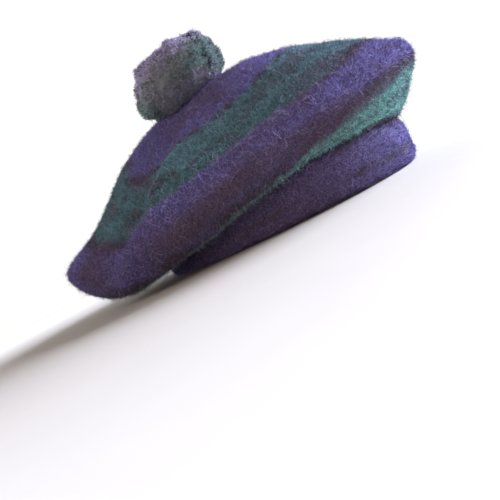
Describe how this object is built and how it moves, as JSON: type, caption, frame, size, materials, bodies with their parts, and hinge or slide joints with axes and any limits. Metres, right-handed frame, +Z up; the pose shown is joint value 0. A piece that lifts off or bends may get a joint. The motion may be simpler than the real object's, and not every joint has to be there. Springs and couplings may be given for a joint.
{
  "type": "tam o shanter",
  "caption": "Brushed wool tam in navy, black and green rings: a soft crown drooping to one side on a folded headband, with a large yarn pompom on top.",
  "frame": {"origin": "bottom centre of the whole hat's box, on the surface that the headband stands on", "axes": "+Z up, -Y towards the wearer's front, -X towards the wearer's right, where the crown droops"},
  "size_m": [0.2909, 0.2983, 0.1595],
  "materials": {
    "crown_wool": "brushed felted wool with rings of navy, black and bottle green and a pale nap",
    "headband_wool": "brushed navy wool, knitted double and folded",
    "pompom_yarn": "cut ends of soft wool yarn in navy, black and bottle green"
  },
  "bodies": {
    "root": {"crown": "crown_wool", "headband": "headband_wool", "pompom": "pompom_yarn"}
  },
  "joints": []
}
